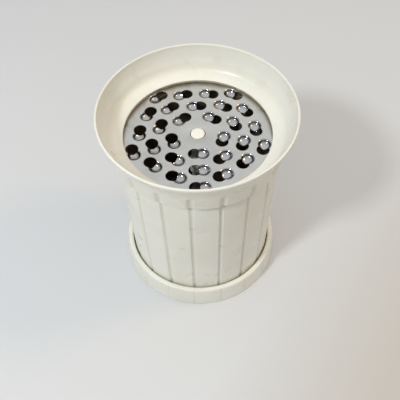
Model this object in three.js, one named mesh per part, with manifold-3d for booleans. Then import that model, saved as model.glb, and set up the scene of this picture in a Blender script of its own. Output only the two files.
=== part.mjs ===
// Hand cheese mill: a fluted barrel with a screw-fed chamber, a revolving outlet collar that
// carries the grating disc, and a base cap that turns the feed screw.
// Millimetres, +Z up, origin at the middle of the base where the mill stands.
import * as THREE from "three";
import { mergeVertices } from "three/addons/utils/BufferGeometryUtils.js";
import Module from "manifold-3d";

const wasm = await Module();
wasm.setup();

// ---- Driving dimensions ----
const overallHeight = 106;      // table to rim
const chamberRadius = 33;       // bore of the cheese chamber
const gap = 0.35;               // clearance between neighbouring pieces
const overlap = 1;              // how far a cutting tool runs past what it cuts
const roundSegments = 48;       // facets on the outer shells
const innerSegments = 36;       // facets on the hidden rings
const smallSegments = 16;       // facets on the spindle and its washers

// Walls of the nested tubes, from the chamber outwards
const linerWall = 1.6;
const spigotWall = 0.8;
const shellTopWall = 2.1;
const shellBottomWall = 2.5;
const bandGap = 0.65;           // collar band to bearing ring
const bandWall = 1.4;

const linerRadius = chamberRadius + linerWall;
const spigotInner = linerRadius + gap;
const spigotRadius = spigotInner + spigotWall;
const shellMouth = spigotRadius + gap;
const shellTopRadius = shellMouth + shellTopWall;
const shellBottomInner = linerRadius + gap;
const shellBottomRadius = shellBottomInner + shellBottomWall;
const bandInner = shellTopRadius + bandGap;
const bandRadius = bandInner + bandWall;

// Outlet collar
const collarHeight = 19.4;      // rim down to the collar's lower edge
const rimFlare = 4.75;          // how far the rim stands out past the band
const rimLip = 1.2;             // thickness of the rim
const rimDrop = 1.8;            // the flare meets the rim this far below its top
const collarWall = 1.2;         // between the bowl and the outside of the flare
const bowlDepth = 15.8;         // rim down to the face of the disc
const apertureHeight = 1.9;     // face of the disc up to the edge of the round opening
const apertureInset = 2.5;      // opening's radius, in from the disc's edge
const ledgeRise = 1.2;          // the bowl's floor climbs this much on its way out
const bandTaper = 0.95;         // the band widens this much on its way up
const bandRise = 5.5;           // face of the disc up to the band's top
const flareRise = 4.2;          // band's top up to the middle of the flare
const ledgeThickness = 1.3;

const collarBottom = overallHeight - collarHeight;
const rimRadius = bandRadius + rimFlare;
const discTop = overallHeight - bowlDepth;
const bandTop = discTop + bandRise;

// Bearing ring that screws into the barrel and carries the collar
const shoulderHeight = 2.3;     // ring seen between the barrel and the collar
const webThickness = 1.3;
const spigotLength = 7.3;
const bearingWall = 1.6;
const snapGrooveDepth = 0.8;
const snapGrooveHeight = 1.2;
const snapGrooveDrop = 1.4;     // top of the bearing ring down to the snap groove
const snapRingHeight = 0.7;
const snapRingSplit = 4;        // opening in the split ring
const glideThickness = 0.5;

const bearingBottom = collarBottom - shoulderHeight;
const bearingInner = shellTopRadius - bearingWall;
const ledgeUnderside = discTop + apertureHeight - ledgeThickness + ledgeRise / 4;
const glideTop = ledgeUnderside - gap;
const bearingTop = glideTop - glideThickness - gap;
const snapGrooveTop = bearingTop - snapGrooveDrop;
const shellTop = bearingBottom - gap;

// Grating disc
const discThickness = 0.5;
const cutterWidth = 5.8;
const hoodLength = 4.5;         // pressed hood, from its mouth to its tip
const slotLength = 4.9;         // open part of each cutter, in front of the hood
const hoodDepth = 2.0;
const hoodWall = 0.4;
const cutterSides = 5;          // the cutters lie on three pentagons
const firstCornerAngle = -17;   // degrees
const innerCornerRadius = 12;
const cutterEdgeMargin = 3.2;   // aperture in to the outermost corner cutters
const edgeBow = 1.04;           // cutters between two corners bow out a little

const discRadius = bearingInner - gap * 2;
const apertureRadius = discRadius - apertureInset + gap * 2;
const discBottom = discTop - discThickness;

// Ring under the disc, with hooks that pass the disc's edge into the collar
const retainerHeight = 2.0;
const retainerWall = 1.4;
const hookCount = 5;
const hookWidth = 2.6;
const hookThickness = 0.8;
const hookHeight = 0.9;         // above the disc's face
const firstHookAngle = 24.5;    // degrees
const hookOuter = discRadius - gap;
const retainerTop = discBottom - gap;
const retainerBottom = retainerTop - retainerHeight;
const linerTop = retainerBottom - gap;

// Flutes
const fluteCount = 18;
const firstFluteAngle = 4.2;    // degrees
const fluteRadius = 1.0;
const fluteDepth = 0.6;
const bandFluteRadius = 1.7;
const bandFluteDepth = 0.7;
const bandFluteTopDrop = 1.2;   // band's top down to the flute's round end

// Base cap
const capHeight = 12.6;
const capFootProud = 4.75;      // foot stands out past the barrel's lower end
const capLipProud = 3.55;       // lip stands out past the barrel's lower end
const capLipWall = 2.8;
const capFootRecess = 1.0;
const capFloor = 2.0;
const capFootWidth = 3.5;
const capFloorGap = 1.5;        // cap's floor to the barrel's lower end
const hubRadius = 8;
const plugRadius = 4;
const plugThickness = 0.8;
const screwHeadRadius = 2.8;
const screwHeadHeight = 1.2;
const screwShankRadius = 1.4;
const hubWeb = 1.4;
const socketDepth = 4;
const footAcross = 6.4;         // spindle's hexagonal foot, across the flats

const capFloorTop = capFootRecess + capFloor;
const shellBottom = capFloorTop + capFloorGap;
const headSeat = capFootRecess + plugThickness + screwHeadHeight + 2 * gap;
const socketBottom = headSeat + hubWeb;
const hubTop = socketBottom + socketDepth;

// Thrust washer, barrel floor and chamber floor
const washerThickness = 1;
const journalRadius = 4.3;
const linerHubRadius = 9;
const linerHubDrop = 3.9;       // the bearing hub hangs this far under the chamber's floor
const shellFlange = 2;
const shellFlangeWidth = 13;    // barrel's wall in to the flange's hole
const linerFloor = 3;
const linerScrewCount = 3;
const linerScrewInset = 8;      // barrel's wall in to the screws
const linerScrewBite = 2.2;     // into the chamber's floor

const washerBottom = hubTop + gap;
const linerHubBottom = washerBottom + washerThickness + gap;
const linerFloorBottom = linerHubBottom + linerHubDrop;
const linerFloorTop = linerFloorBottom + linerFloor;
const shellFlangeTop = linerFloorBottom - gap;
const shellFlangeBottom = shellFlangeTop - shellFlange;
const shellFlangeHole = shellBottomInner - shellFlangeWidth;
const linerScrewCircle = shellBottomInner - linerScrewInset;

// Guide ribs that keep the follower from turning
const ribCount = 4;
const ribWidth = 3;
const ribDepth = 1.5;
const firstRibAngle = 45;       // degrees

// Feed screw
const pinRadius = 3.25;
const pinProud = 0.5;           // tip stands this far above the disc
const threadPitch = 8;
const threadRadius = 0.95;      // round thread
const threadStepsPerTurn = 10;
const clipThickness = 0.8;
const clipRadius = 6;
const clipGrooveRadius = 2.6;
const oRingRadius = 0.55;
const oRingGrooveRadius = 2.95;

const clipBottom = linerFloorTop + gap;
const clipTop = clipBottom + clipThickness;
const oRingHeight = (linerHubBottom + linerFloorTop) / 2;
const threadBottom = clipTop + gap + threadRadius * 2;
const threadTop = retainerBottom - hoodDepth - threadRadius;
const spindleTop = discTop + pinProud;

// Follower that presses the cheese against the disc
const followerThickness = 3.5;
const followerEdgeGap = 0.6;
const nutRadius = 7.2;
const nutHeight = 9.4;
const nutFlangeRadius = 10;
const nutFlangeHeight = 1.2;
const nutLipRadius = 8.1;
const nutLipHeight = 0.8;
const lugHeight = 1.8;
const lugWidth = 2.6;
const gripRadius = 20;
const gripThickness = 0.5;
const prongCount = 6;
const prongCircle = 16;
const prongHeight = 4;
const prongRadius = 1.3;

const followerBottom = clipTop + gap * 2;
const followerTop = followerBottom + followerThickness;
const gripBottom = followerTop + gap;
const nutTop = followerBottom + nutHeight;
const nutBore = pinRadius + threadRadius + gap;

// ---- Materials ----
const cream = { color: 0xefe6d0, roughness: 0.38, metalness: 0 };
const steel = { color: 0xb9bbbd, roughness: 0.3, metalness: 1 };
const acetal = { color: 0xe9e6dc, roughness: 0.5, metalness: 0 };
const silicone = { color: 0xb9b4a6, roughness: 0.7, metalness: 0 };

// ---- Helpers ----
const turn = THREE.MathUtils.degToRad;

// Closed solid of a three.js geometry, for joins and cuts.
function solidOf(geometry) {
  const bare = geometry.clone();
  bare.deleteAttribute("normal");
  bare.deleteAttribute("uv");
  const merged = mergeVertices(bare, 1e-4);
  const corners = merged.index.array;
  const triangles = [];
  for (let i = 0; i < corners.length; i += 3) {
    const [a, b, c] = [corners[i], corners[i + 1], corners[i + 2]];
    if (a !== b && b !== c && c !== a) triangles.push(a, b, c);
  }
  return new wasm.Manifold(new wasm.Mesh({
    numProp: 3,
    vertProperties: new Float32Array(merged.attributes.position.array),
    triVerts: new Uint32Array(triangles),
  }));
}

function geometryOf(solid) {
  const { vertProperties, triVerts } = solid.getMesh();
  const geometry = new THREE.BufferGeometry();
  geometry.setAttribute("position", new THREE.BufferAttribute(vertProperties, 3));
  geometry.setIndex(new THREE.BufferAttribute(triVerts, 1));
  geometry.computeVertexNormals();
  return geometry;
}

function cutFrom(geometry, tools) {
  let solid = solidOf(geometry);
  for (const tool of tools) solid = solid.subtract(solidOf(tool));
  return geometryOf(solid);
}

function joinTo(geometry, extras) {
  let solid = solidOf(geometry);
  for (const extra of extras) solid = solid.add(solidOf(extra));
  return geometryOf(solid);
}

// Solid of revolution about +Z from its (radius, height) outline.
function turned(outline, segments) {
  const loop = outline.map(([radius, height]) => new THREE.Vector2(radius, height));
  if (THREE.ShapeUtils.area(loop) < 0) loop.reverse();
  const hollow = loop.every((point) => point.x > 0);
  if (hollow) loop.push(loop[0].clone());
  while (!hollow && !(loop[0].x === 0 && loop[loop.length - 1].x === 0)) loop.push(loop.shift());
  return new THREE.LatheGeometry(loop, segments).rotateX(Math.PI / 2);
}

// Washer or tube between two radii and two heights.
function ring(inner, outer, bottom, top, segments) {
  return turned([[inner, bottom], [outer, bottom], [outer, top], [inner, top]], segments);
}

// Round or prismatic bar about +Z.
function bar(radius, bottom, top, segments) {
  const geometry = new THREE.CylinderGeometry(radius, radius, top - bottom, segments);
  return geometry.rotateX(Math.PI / 2).translate(0, 0, (bottom + top) / 2);
}

// Block whose inner and outer faces lie at two radii on the +X side.
function block(inner, outer, width, bottom, top) {
  const geometry = new THREE.BoxGeometry(outer - inner, width, top - bottom);
  return geometry.translate((inner + outer) / 2, 0, (bottom + top) / 2);
}

// The same geometry repeated around +Z.
function around(geometry, count, firstAngle) {
  return Array.from({ length: count }, (_, i) =>
    geometry.clone().rotateZ(turn(firstAngle + (i * 360) / count)));
}

function piece(name, geometry, look) {
  const mesh = new THREE.Mesh(geometry, new THREE.MeshStandardMaterial(look));
  mesh.name = name;
  return mesh;
}

// ---- Flutes ----
// Round bar that leans with a tapered wall, from one radius and height to another.
function fluteTool(lowRadius, lowHeight, highRadius, highHeight, depth, radius) {
  const rise = highHeight - lowHeight;
  const lean = Math.atan2(highRadius - lowRadius, rise);
  const geometry = new THREE.CylinderGeometry(radius, radius, Math.hypot(rise, highRadius - lowRadius), 8);
  geometry.rotateX(Math.PI / 2).rotateZ(Math.PI / 8).rotateY(lean);
  const middle = (lowRadius + highRadius) / 2 + radius - depth;
  return geometry.translate(middle, 0, (lowHeight + highHeight) / 2);
}

const shellTaper = (shellTopRadius - shellBottomRadius) / (shellTop - shellBottom);

function shellRadiusAt(height) {
  return shellBottomRadius + (height - shellBottom) * shellTaper;
}

function barrelFlutes() {
  const low = shellBottom - overlap;
  const high = shellTop + overlap;
  const tool = fluteTool(shellRadiusAt(low), low, shellRadiusAt(high), high, fluteDepth, fluteRadius);
  return around(tool, fluteCount, firstFluteAngle);
}

// ---- Barrel ----
function barrelShell() {
  const body = turned([
    [shellFlangeHole, shellFlangeBottom],
    [shellBottomInner, shellFlangeBottom],
    [shellBottomInner, shellBottom],
    [shellBottomRadius, shellBottom],
    [shellTopRadius, shellTop],
    [shellMouth, shellTop],
    [shellMouth, shellTop - spigotLength - gap],
    [shellBottomInner, shellFlangeTop],
    [shellFlangeHole, shellFlangeTop],
  ], roundSegments);
  const screwHole = bar(screwShankRadius + gap, shellFlangeBottom - overlap, shellFlangeTop + overlap, 12);
  screwHole.translate(linerScrewCircle, 0, 0);
  return cutFrom(body, [...barrelFlutes(), ...around(screwHole, linerScrewCount, 0)]);
}

function chamberLiner() {
  const tube = turned([
    [journalRadius + gap, linerHubBottom],
    [linerHubRadius, linerHubBottom],
    [linerHubRadius, linerFloorBottom],
    [linerRadius, linerFloorBottom],
    [linerRadius, linerTop],
    [chamberRadius, linerTop],
    [chamberRadius, linerFloorTop],
    [journalRadius + gap, linerFloorTop],
  ], innerSegments);
  const rib = block(chamberRadius - ribDepth, chamberRadius + linerWall / 2, ribWidth,
    linerFloorTop - linerFloor / 2, linerTop - spigotLength);
  const ribbed = joinTo(tube, around(rib, ribCount, firstRibAngle));
  const pilot = bar(screwShankRadius + gap, linerFloorBottom - overlap,
    linerFloorBottom + linerScrewBite + gap, 12);
  pilot.translate(linerScrewCircle, 0, 0);
  return cutFrom(ribbed, around(pilot, linerScrewCount, 0));
}

// Pan-head fastener standing on its head, about +Z.
function fastener(headBottom, shankTop) {
  const headTop = headBottom + screwHeadHeight;
  return turned([
    [0, headBottom],
    [screwHeadRadius * 0.8, headBottom],
    [screwHeadRadius, headBottom + screwHeadHeight / 2],
    [screwHeadRadius, headTop],
    [screwShankRadius, headTop],
    [screwShankRadius, shankTop],
    [0, shankTop],
  ], 12);
}

function linerScrews() {
  const headBottom = shellFlangeBottom - gap - screwHeadHeight;
  const screw = fastener(headBottom, linerFloorBottom + linerScrewBite);
  screw.translate(linerScrewCircle, 0, 0);
  return around(screw, linerScrewCount, 0);
}

// ---- Head ----
function outletCollar() {
  const apertureEdge = discTop + apertureHeight;
  const hangerOuter = bearingInner - gap;
  const flare = [
    [bandRadius + bandTaper, bandTop],
    [bandRadius + rimFlare * 0.58, bandTop + flareRise],
    [rimRadius - rimLip / 2, overallHeight - rimDrop],
  ];
  const bowlSide = flare.map(([radius, height]) => [radius - collarWall, height]).reverse();
  const [sideFoot] = bowlSide[bowlSide.length - 1];
  const body = turned([
    [bandInner, collarBottom],
    [bandRadius, collarBottom],
    ...flare,
    [rimRadius, overallHeight - 0.4],
    [rimRadius - rimLip / 2, overallHeight],
    [rimRadius - rimLip, overallHeight - 0.3],
    ...bowlSide,
    [sideFoot - 0.9, apertureEdge + ledgeRise * 2],
    [sideFoot - 2.5, apertureEdge + ledgeRise],
    [apertureRadius + 0.6, apertureEdge],
    [apertureRadius, apertureEdge - 0.6],
    [apertureRadius, discTop + gap],
    [hangerOuter, discTop + gap],
    [hangerOuter, ledgeUnderside],
    [bandInner, ledgeUnderside],
    [bandInner, snapGrooveTop],
    [bandInner + snapGrooveDepth * 0.6, snapGrooveTop],
    [bandInner + snapGrooveDepth * 0.6, snapGrooveTop - snapGrooveHeight],
    [bandInner, snapGrooveTop - snapGrooveHeight],
  ], roundSegments);
  const fluteTop = bandTop - bandFluteTopDrop - bandFluteRadius;
  const fluteBottom = collarBottom - bandFluteRadius - overlap;
  const flute = new THREE.CapsuleGeometry(bandFluteRadius, fluteTop - fluteBottom, 2, 6, 1);
  flute.rotateX(Math.PI / 2);
  flute.translate(bandRadius + bandFluteRadius - bandFluteDepth, 0, (fluteTop + fluteBottom) / 2);
  const pocket = block(apertureRadius - overlap, hangerOuter + overlap / 2, hookWidth + gap * 2,
    discTop - overlap, discTop + hookHeight + gap);
  return cutFrom(body, [
    ...around(flute, fluteCount, firstFluteAngle),
    ...around(pocket, hookCount, firstHookAngle),
  ]);
}

// Places of the cutters, on three pentagons of one, two and three steps a side.
function cutterPlaces() {
  const outerCornerRadius = apertureRadius - cutterEdgeMargin;
  const places = [];
  for (let steps = 1; steps <= 3; steps += 1) {
    const share = (steps - 1) / 2;
    const cornerRadius = innerCornerRadius + (outerCornerRadius - innerCornerRadius) * share;
    for (let side = 0; side < cutterSides; side += 1) {
      const from = turn(firstCornerAngle + (side * 360) / cutterSides);
      const to = turn(firstCornerAngle + ((side + 1) * 360) / cutterSides);
      for (let step = 0; step < steps; step += 1) {
        const start = new THREE.Vector2(Math.cos(from), Math.sin(from));
        const place = start.lerp(new THREE.Vector2(Math.cos(to), Math.sin(to)), step / steps);
        places.push(place.multiplyScalar(cornerRadius * (step ? edgeBow : 1)));
      }
    }
  }
  return places;
}

// Moves a cutter's geometry, made along +X with its hood on the +X side, to its place.
function placed(geometry, place) {
  const angle = Math.atan2(place.y, place.x);
  return geometry.clone().rotateZ(angle + Math.PI / 2).translate(place.x, place.y, 0);
}

function halfEgg(length, width, depth) {
  const egg = new THREE.SphereGeometry(1, 6, 3);
  egg.rotateX(Math.PI / 2).scale(length, width / 2, depth);
  return egg;
}

function hood() {
  const shell = solidOf(halfEgg(hoodLength, cutterWidth + hoodWall, hoodDepth + hoodWall));
  const hollow = solidOf(halfEgg(hoodLength - hoodWall, cutterWidth - hoodWall, hoodDepth));
  const reach = hoodLength + overlap;
  const keep = new THREE.BoxGeometry(reach, reach * 2, discThickness + reach);
  keep.translate(reach / 2, 0, -(discThickness + reach) / 2);
  return geometryOf(shell.subtract(hollow).intersect(solidOf(keep))).translate(0, 0, discTop);
}

function slotOutline() {
  const outline = new THREE.Shape();
  const width = cutterWidth - hoodWall / 2;
  outline.absellipse(0, 0, hoodLength - hoodWall / 2, width / 2, -Math.PI / 2, Math.PI / 2);
  outline.absellipse(0, 0, slotLength, width / 2, Math.PI / 2, Math.PI * 1.5);
  return outline;
}

function gratingDisc() {
  const plate = ring(pinRadius + gap, discRadius, discBottom, discTop, roundSegments);
  const places = cutterPlaces();
  const slot = new THREE.ExtrudeGeometry(slotOutline(), {
    depth: discThickness + overlap, bevelEnabled: false, curveSegments: 2,
  });
  slot.translate(0, 0, discBottom - overlap / 2);
  const notch = block(hookOuter - hookThickness - gap, discRadius + overlap, hookWidth + gap * 2,
    discBottom - overlap, discTop + overlap);
  const pierced = cutFrom(plate, [
    ...places.map((place) => placed(slot, place)),
    ...around(notch, hookCount, firstHookAngle),
  ]);
  const shape = hood();
  return joinTo(pierced, places.map((place) => placed(shape, place)));
}

function discRetainer() {
  const inner = discRadius - retainerWall;
  const body = ring(inner, discRadius, retainerBottom, retainerTop, innerSegments);
  const hook = block(hookOuter - hookThickness, hookOuter, hookWidth,
    retainerBottom + retainerHeight / 2, discTop + hookHeight);
  return joinTo(body, around(hook, hookCount, firstHookAngle));
}

// ---- Bearing ring and what holds the collar on it ----
function bearingRing() {
  const webTop = bearingBottom + webThickness;
  const grooveBottom = snapGrooveTop - snapGrooveHeight;
  const body = turned([
    [spigotInner, bearingBottom - spigotLength],
    [spigotRadius, bearingBottom - spigotLength],
    [spigotRadius, bearingBottom],
    [shellTopRadius, bearingBottom],
    [shellTopRadius, grooveBottom],
    [shellTopRadius - snapGrooveDepth, grooveBottom],
    [shellTopRadius - snapGrooveDepth, snapGrooveTop],
    [shellTopRadius, snapGrooveTop],
    [shellTopRadius, bearingTop],
    [bearingInner, bearingTop],
    [bearingInner, webTop],
    [spigotInner, webTop],
  ], roundSegments);
  const flute = fluteTool(shellTopRadius, bearingBottom - overlap, shellTopRadius, collarBottom,
    fluteDepth, fluteRadius);
  return cutFrom(body, around(flute, fluteCount, firstFluteAngle));
}

function collarSnapRing() {
  const middle = snapGrooveTop - snapGrooveHeight / 2;
  const body = ring(shellTopRadius - snapGrooveDepth + gap / 2, bandInner + snapGrooveDepth * 0.3,
    middle - snapRingHeight / 2, middle + snapRingHeight / 2, innerSegments);
  const split = block(shellTopRadius - snapGrooveDepth - overlap, bandInner + overlap * 2, snapRingSplit,
    middle - snapRingHeight, middle + snapRingHeight);
  return cutFrom(body, [split]);
}

function glideWasher() {
  return ring(bearingInner + gap, shellTopRadius - gap, glideTop - glideThickness, glideTop, innerSegments);
}

// ---- Base cap, feed screw and what joins them ----
function baseCap() {
  const footRadius = shellBottomRadius + capFootProud;
  const lipRadius = shellBottomRadius + capLipProud;
  const lipInner = lipRadius - capLipWall;
  const body = turned([
    [screwShankRadius + gap, headSeat],
    [plugRadius + gap, headSeat],
    [plugRadius + gap, capFootRecess],
    [footRadius - capFootWidth, capFootRecess],
    [footRadius - capFootWidth + capFootRecess / 2, 0],
    [footRadius - 0.6, 0],
    [footRadius, 0.6],
    [lipRadius, capHeight - 0.4],
    [lipRadius - capLipWall / 2, capHeight],
    [lipInner, capHeight - 0.3],
    [lipInner, capFloorTop + 1.5],
    [lipInner - 1.5, capFloorTop],
    [hubRadius, capFloorTop],
    [hubRadius, hubTop],
    [screwShankRadius + gap, hubTop],
  ], roundSegments);
  const socket = bar(footAcross / Math.sqrt(3) + gap, socketBottom, hubTop + overlap, 6);
  return cutFrom(body, [socket]);
}

class Helix extends THREE.Curve {
  constructor(radius, bottom, top, pitch) {
    super();
    Object.assign(this, { radius, bottom, top, pitch });
  }

  getPoint(t, target = new THREE.Vector3()) {
    const height = this.bottom + (this.top - this.bottom) * t;
    const angle = ((height - this.bottom) / this.pitch) * Math.PI * 2;
    return target.set(this.radius * Math.cos(angle), this.radius * Math.sin(angle), height);
  }
}

function screwThread() {
  const section = new THREE.Shape();
  section.absarc(0, 0, threadRadius, 0, Math.PI * 2);
  const turns = (threadTop - threadBottom) / threadPitch;
  return new THREE.ExtrudeGeometry(section, {
    extrudePath: new Helix(pinRadius, threadBottom, threadTop, threadPitch),
    steps: Math.round(turns * threadStepsPerTurn),
    curveSegments: 2,
    bevelEnabled: false,
  });
}

function feedScrew() {
  const footBottom = socketBottom + gap;
  const boreTop = footBottom + socketDepth + 2;
  const oRingHalf = oRingRadius + gap / 2;
  const clipGap = gap / 2;
  const rod = turned([
    [screwShankRadius + gap, hubTop],
    [journalRadius, hubTop],
    [journalRadius, oRingHeight - oRingHalf],
    [oRingGrooveRadius, oRingHeight - oRingHalf],
    [oRingGrooveRadius, oRingHeight + oRingHalf],
    [journalRadius, oRingHeight + oRingHalf],
    [journalRadius, clipBottom - clipGap],
    [clipGrooveRadius, clipBottom - clipGap],
    [clipGrooveRadius, clipTop + clipGap],
    [pinRadius, clipTop + clipGap],
    [pinRadius, spindleTop - 0.4],
    [pinRadius - 0.4, spindleTop],
    [0, spindleTop],
    [0, boreTop],
    [screwShankRadius + gap, boreTop],
  ], smallSegments);
  const foot = cutFrom(bar(footAcross / Math.sqrt(3), footBottom, hubTop + overlap, 6),
    [bar(screwShankRadius + gap, footBottom - overlap, hubTop + overlap * 2, smallSegments)]);
  return joinTo(rod, [foot, screwThread()]);
}

function baseFixingScrew() {
  const headBottom = headSeat - gap - screwHeadHeight;
  return fastener(headBottom, socketBottom + socketDepth + 1.5);
}

function screwPlug() {
  return bar(plugRadius, capFootRecess, capFootRecess + plugThickness - gap, smallSegments);
}

function thrustWasher() {
  return ring(journalRadius + gap, hubRadius, washerBottom, washerBottom + washerThickness, smallSegments);
}

function spindleClip() {
  const body = ring(clipGrooveRadius + gap, clipRadius, clipBottom, clipTop, smallSegments);
  const mouth = block(0, clipRadius + overlap, clipGrooveRadius * 1.6, clipBottom - overlap, clipTop + overlap);
  return cutFrom(body, [mouth]);
}

function spindleORing() {
  const middle = oRingGrooveRadius + gap / 2 + oRingRadius;
  return new THREE.TorusGeometry(middle, oRingRadius, 6, smallSegments).translate(0, 0, oRingHeight);
}

// ---- Follower ----
function followerPlate() {
  const body = turned([
    [nutRadius + gap, followerBottom + nutFlangeHeight + gap],
    [nutFlangeRadius + gap, followerBottom + nutFlangeHeight + gap],
    [nutFlangeRadius + gap, followerBottom],
    [chamberRadius - followerEdgeGap, followerBottom],
    [chamberRadius - followerEdgeGap, followerTop],
    [nutRadius + gap, followerTop],
  ], innerSegments);
  const notch = block(chamberRadius - ribDepth - followerEdgeGap, chamberRadius + overlap,
    ribWidth + gap * 2, followerBottom - overlap, followerTop + overlap);
  return cutFrom(body, around(notch, ribCount, firstRibAngle));
}

// The lugs stand in the screw's thread, half a pitch away from the round thread itself.
function followerNut() {
  const lipBottom = gripBottom + gripThickness + gap;
  const body = turned([
    [nutBore, followerBottom],
    [nutFlangeRadius, followerBottom],
    [nutFlangeRadius, followerBottom + nutFlangeHeight],
    [nutRadius, followerBottom + nutFlangeHeight],
    [nutRadius, lipBottom],
    [nutLipRadius, lipBottom],
    [nutRadius, lipBottom + nutLipHeight],
    [nutRadius, nutTop],
    [nutBore, nutTop],
  ], smallSegments);
  const ridge = threadBottom + Math.ceil((followerBottom - threadBottom) / threadPitch) * threadPitch;
  const lugs = [0, 1].map((side) => {
    const middle = ridge + (side ? 0 : threadPitch / 2);
    const lug = block(pinRadius + gap, nutBore + 1, lugWidth, middle - lugHeight / 2, middle + lugHeight / 2);
    return lug.rotateZ(Math.PI * side);
  });
  return joinTo(body, lugs);
}

function gripRing() {
  const body = ring(nutRadius + gap, gripRadius, gripBottom, gripBottom + gripThickness, smallSegments);
  const prong = new THREE.ConeGeometry(prongRadius, prongHeight + gripThickness / 2, 4);
  prong.rotateX(Math.PI / 2).translate(prongCircle, 0, gripBottom + gripThickness / 2 + prongHeight / 2);
  return joinTo(body, around(prong, prongCount, 0));
}

// ---- Assembly ----
const mill = new THREE.Group();
mill.add(
  piece("barrel_shell", barrelShell(), cream),
  piece("chamber_liner", chamberLiner(), cream),
  ...linerScrews().map((screw, i) => piece(`liner_screw_${i + 1}`, screw, steel)),
  piece("outlet_collar", outletCollar(), cream),
  piece("grating_disc", gratingDisc(), steel),
  piece("disc_retainer", discRetainer(), cream),
  piece("bearing_ring", bearingRing(), cream),
  piece("collar_snap_ring", collarSnapRing(), steel),
  piece("glide_washer", glideWasher(), acetal),
  piece("base_cap", baseCap(), cream),
  piece("feed_screw", feedScrew(), cream),
  piece("base_fixing_screw", baseFixingScrew(), steel),
  piece("screw_plug", screwPlug(), cream),
  piece("thrust_washer", thrustWasher(), acetal),
  piece("spindle_clip", spindleClip(), steel),
  piece("spindle_o_ring", spindleORing(), silicone),
  piece("follower_plate", followerPlate(), cream),
  piece("follower_nut", followerNut(), acetal),
  piece("grip_ring", gripRing(), steel),
);

export default mill;
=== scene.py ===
import math

import bmesh
import bpy
from mathutils import Matrix, Vector


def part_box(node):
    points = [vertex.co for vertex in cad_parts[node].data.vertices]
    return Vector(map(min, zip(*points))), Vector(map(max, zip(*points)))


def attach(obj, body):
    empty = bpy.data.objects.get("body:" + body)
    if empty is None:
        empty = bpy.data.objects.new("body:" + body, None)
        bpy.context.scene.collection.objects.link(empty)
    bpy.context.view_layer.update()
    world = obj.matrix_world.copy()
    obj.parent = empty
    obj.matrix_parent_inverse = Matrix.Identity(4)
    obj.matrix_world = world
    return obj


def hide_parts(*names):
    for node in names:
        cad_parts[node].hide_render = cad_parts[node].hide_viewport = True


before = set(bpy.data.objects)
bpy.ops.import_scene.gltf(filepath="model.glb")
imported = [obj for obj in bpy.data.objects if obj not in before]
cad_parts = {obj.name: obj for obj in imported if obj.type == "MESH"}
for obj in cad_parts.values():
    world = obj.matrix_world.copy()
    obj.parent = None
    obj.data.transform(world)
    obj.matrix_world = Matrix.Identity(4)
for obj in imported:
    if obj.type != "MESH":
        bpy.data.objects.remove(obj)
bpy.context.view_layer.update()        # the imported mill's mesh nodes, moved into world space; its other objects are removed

mm = 0.001
fullTurn = 2 * math.pi
nearlyStraight = math.radians(89)        # half of a corner's angle, above which it takes no fillet
filletShare = 0.49                       # most of an outline's stretch that one fillet may use up


# small helpers

def boxOf(node):
    low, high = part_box(node)
    return low.z / mm, high.z / mm, high.x / mm        # bottom, top and outer radius


def smoothStep(value, start, end):
    share = min(1.0, max(0.0, (value - start) / (end - start)))
    return share * share * (3 - 2 * share)


def polar(vert):
    return math.hypot(vert.co.x, vert.co.y) / mm, math.atan2(vert.co.y, vert.co.x)


def setPolar(vert, radius, angle):
    vert.co.x = radius * mm * math.cos(angle)
    vert.co.y = radius * mm * math.sin(angle)


def sixSided(across, angle):
    # radius of a hexagon at an angle, from its width across the flats
    away = (angle + fullTurn * 13 / 12) % (fullTurn / 6) - fullTurn / 12
    return across / 2 / math.cos(away)


def rounded(corners, steps=5):
    # outline of (radius, height, fillet) corners, with each fillet drawn as an arc
    outline = []
    for index, (radius, height, fillet) in enumerate(corners):
        here = Vector((radius, height))
        before = Vector(corners[index - 1][:2]) - here
        after = Vector(corners[(index + 1) % len(corners)][:2]) - here
        halfAngle = before.angle(after) / 2 if fillet else 0
        if not fillet or halfAngle > nearlyStraight:
            outline.append((radius, height))
            continue
        longest = min(before.length, after.length) * filletShare
        reach = min(fillet / math.tan(halfAngle), longest)
        arcRadius = reach * math.tan(halfAngle)
        middle = (before.normalized() + after.normalized()).normalized()
        centre = here + middle * (arcRadius / math.sin(halfAngle))
        start = here + before.normalized() * reach - centre
        sweep = start.angle_signed(here + after.normalized() * reach - centre)
        for step in range(steps + 1):
            spoke = start.copy()
            spoke.rotate(Matrix.Rotation(-sweep * step / steps, 2))
            outline.append(tuple(centre + spoke))
    return outline


def divided(outline, longest, low, high):
    # puts extra points on the steep stretches between two heights
    result = []
    for (radiusA, heightA), (radiusB, heightB) in zip(outline, outline[1:] + outline[:1]):
        result.append((radiusA, heightA))
        inside = low <= (heightA + heightB) / 2 <= high
        count = math.ceil(abs(heightB - heightA) / longest) if inside else 1
        for step in range(1, count):
            share = step / count
            radius = radiusA + (radiusB - radiusA) * share
            result.append((radius, heightA + (heightB - heightA) * share))
    return result


def spun(outline, steps, closed=True):
    bm = bmesh.new()
    ring = [bm.verts.new((radius * mm, 0, height * mm)) for radius, height in outline]
    for pair in zip(ring, ring[1:]):
        bm.edges.new(pair)
    if closed:
        bm.edges.new((ring[-1], ring[0]))
    bmesh.ops.spin(bm, geom=bm.verts[:] + bm.edges[:], cent=(0, 0, 0), axis=(0, 0, 1),
                   angle=fullTurn, steps=steps, use_merge=True)
    bmesh.ops.remove_doubles(bm, verts=bm.verts, dist=0.001 * mm)
    return bm


def addPiece(bm, name, body, nodes, materials, sharp=38, outward=True):
    if outward:
        bmesh.ops.recalc_face_normals(bm, faces=bm.faces)
    mesh = bpy.data.meshes.new(name)
    bm.to_mesh(mesh)
    bm.free()
    mesh.shade_smooth()
    mesh.set_sharp_from_angle(angle=math.radians(sharp))
    for material in materials:
        mesh.materials.append(material)
    piece = bpy.data.objects.new(name, mesh)
    bpy.context.scene.collection.objects.link(piece)
    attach(piece, body)
    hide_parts(*nodes)
    return piece


# materials

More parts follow.
